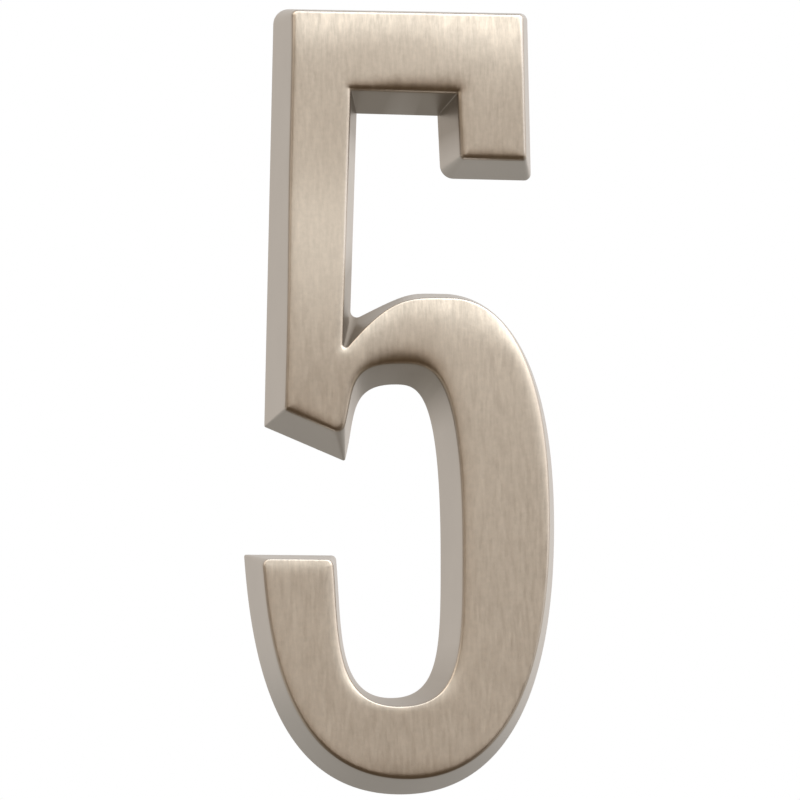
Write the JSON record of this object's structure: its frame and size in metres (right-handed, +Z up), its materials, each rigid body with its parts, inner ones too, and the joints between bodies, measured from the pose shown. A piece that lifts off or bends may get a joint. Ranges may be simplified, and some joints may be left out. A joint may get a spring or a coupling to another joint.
{
  "type": "house number",
  "caption": "Cast house number shaped as a numeral five, with leaning sides, softly rolled face edges and a flat back with blind tapped holes for concealed studs",
  "frame": {"origin": "on the flat back, midway between the tapped stud holes", "axes": "+Z is up the upright numeral, -Y is out of its face towards the viewer, +Y is out of its back into the wall, +X is to the right as it is read"},
  "size_m": [0.0401, 0.0095, 0.1016],
  "materials": {
    "satin_nickel": "satin"
  },
  "bodies": {
    "root": {"numeral": "satin_nickel"}
  },
  "joints": []
}
